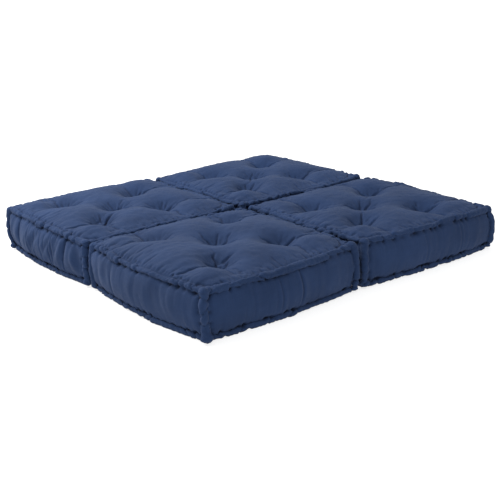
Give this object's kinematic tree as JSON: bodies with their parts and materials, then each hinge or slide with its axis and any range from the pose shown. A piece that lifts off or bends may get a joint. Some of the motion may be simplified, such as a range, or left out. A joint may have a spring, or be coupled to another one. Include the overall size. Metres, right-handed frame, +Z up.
{
  "type": "floor cushion",
  "caption": "Modular floor cushion: tufted square mattress cushions with hand-rolled edges, laid side by side as one low bed; each lifts away to be stacked or moved.",
  "frame": {"origin": "on the floor, under the middle of the square that the cushions make together", "axes": "+X to the right and +Y to the back, each along the cushions' edges; +Z up"},
  "size_m": [1.214, 1.214, 0.18],
  "materials": {
    "cotton_canvas": "matte",
    "rolled_edge": "matte",
    "fibre_fill": "matte",
    "waxed_thread": "satin",
    "tufting_twine": "satin"
  },
  "bodies": {
    "front_left": {"front_left_fibre_fill": "fibre_fill", "front_left_top_panel": "cotton_canvas", "front_left_bottom_panel": "cotton_canvas", "front_left_front_band": "cotton_canvas", "front_left_back_band": "cotton_canvas", "front_left_left_band": "cotton_canvas", "front_left_right_band": "cotton_canvas", "front_left_top_rolled_edges": "rolled_edge", "front_left_bottom_rolled_edges": "rolled_edge", "front_left_corner_rolled_edges": "rolled_edge", "front_left_edge_thread": "waxed_thread", "front_left_tuft_ties": "tufting_twine"},
    "front_right": {"front_right_fibre_fill": "fibre_fill", "front_right_top_panel": "cotton_canvas", "front_right_bottom_panel": "cotton_canvas", "front_right_front_band": "cotton_canvas", "front_right_back_band": "cotton_canvas", "front_right_left_band": "cotton_canvas", "front_right_right_band": "cotton_canvas", "front_right_top_rolled_edges": "rolled_edge", "front_right_bottom_rolled_edges": "rolled_edge", "front_right_corner_rolled_edges": "rolled_edge", "front_right_edge_thread": "waxed_thread", "front_right_tuft_ties": "tufting_twine"},
    "back_left": {"back_left_fibre_fill": "fibre_fill", "back_left_top_panel": "cotton_canvas", "back_left_bottom_panel": "cotton_canvas", "back_left_front_band": "cotton_canvas", "back_left_back_band": "cotton_canvas", "back_left_left_band": "cotton_canvas", "back_left_right_band": "cotton_canvas", "back_left_top_rolled_edges": "rolled_edge", "back_left_bottom_rolled_edges": "rolled_edge", "back_left_corner_rolled_edges": "rolled_edge", "back_left_edge_thread": "waxed_thread", "back_left_tuft_ties": "tufting_twine"},
    "back_right": {"back_right_fibre_fill": "fibre_fill", "back_right_top_panel": "cotton_canvas", "back_right_bottom_panel": "cotton_canvas", "back_right_front_band": "cotton_canvas", "back_right_back_band": "cotton_canvas", "back_right_left_band": "cotton_canvas", "back_right_right_band": "cotton_canvas", "back_right_top_rolled_edges": "rolled_edge", "back_right_bottom_rolled_edges": "rolled_edge", "back_right_corner_rolled_edges": "rolled_edge", "back_right_edge_thread": "waxed_thread", "back_right_tuft_ties": "tufting_twine"}
  },
  "joints": [
    {"name": "front_right_lift", "type": "slide", "parent": "front_left", "child": "front_right", "axis": [0, 0, 1], "range_m": [0, 0.25]},
    {"name": "back_left_lift", "type": "slide", "parent": "front_left", "child": "back_left", "axis": [0, 0, 1], "range_m": [0, 0.25]},
    {"name": "back_right_lift", "type": "slide", "parent": "front_left", "child": "back_right", "axis": [0, 0, 1], "range_m": [0, 0.25]}
  ]
}
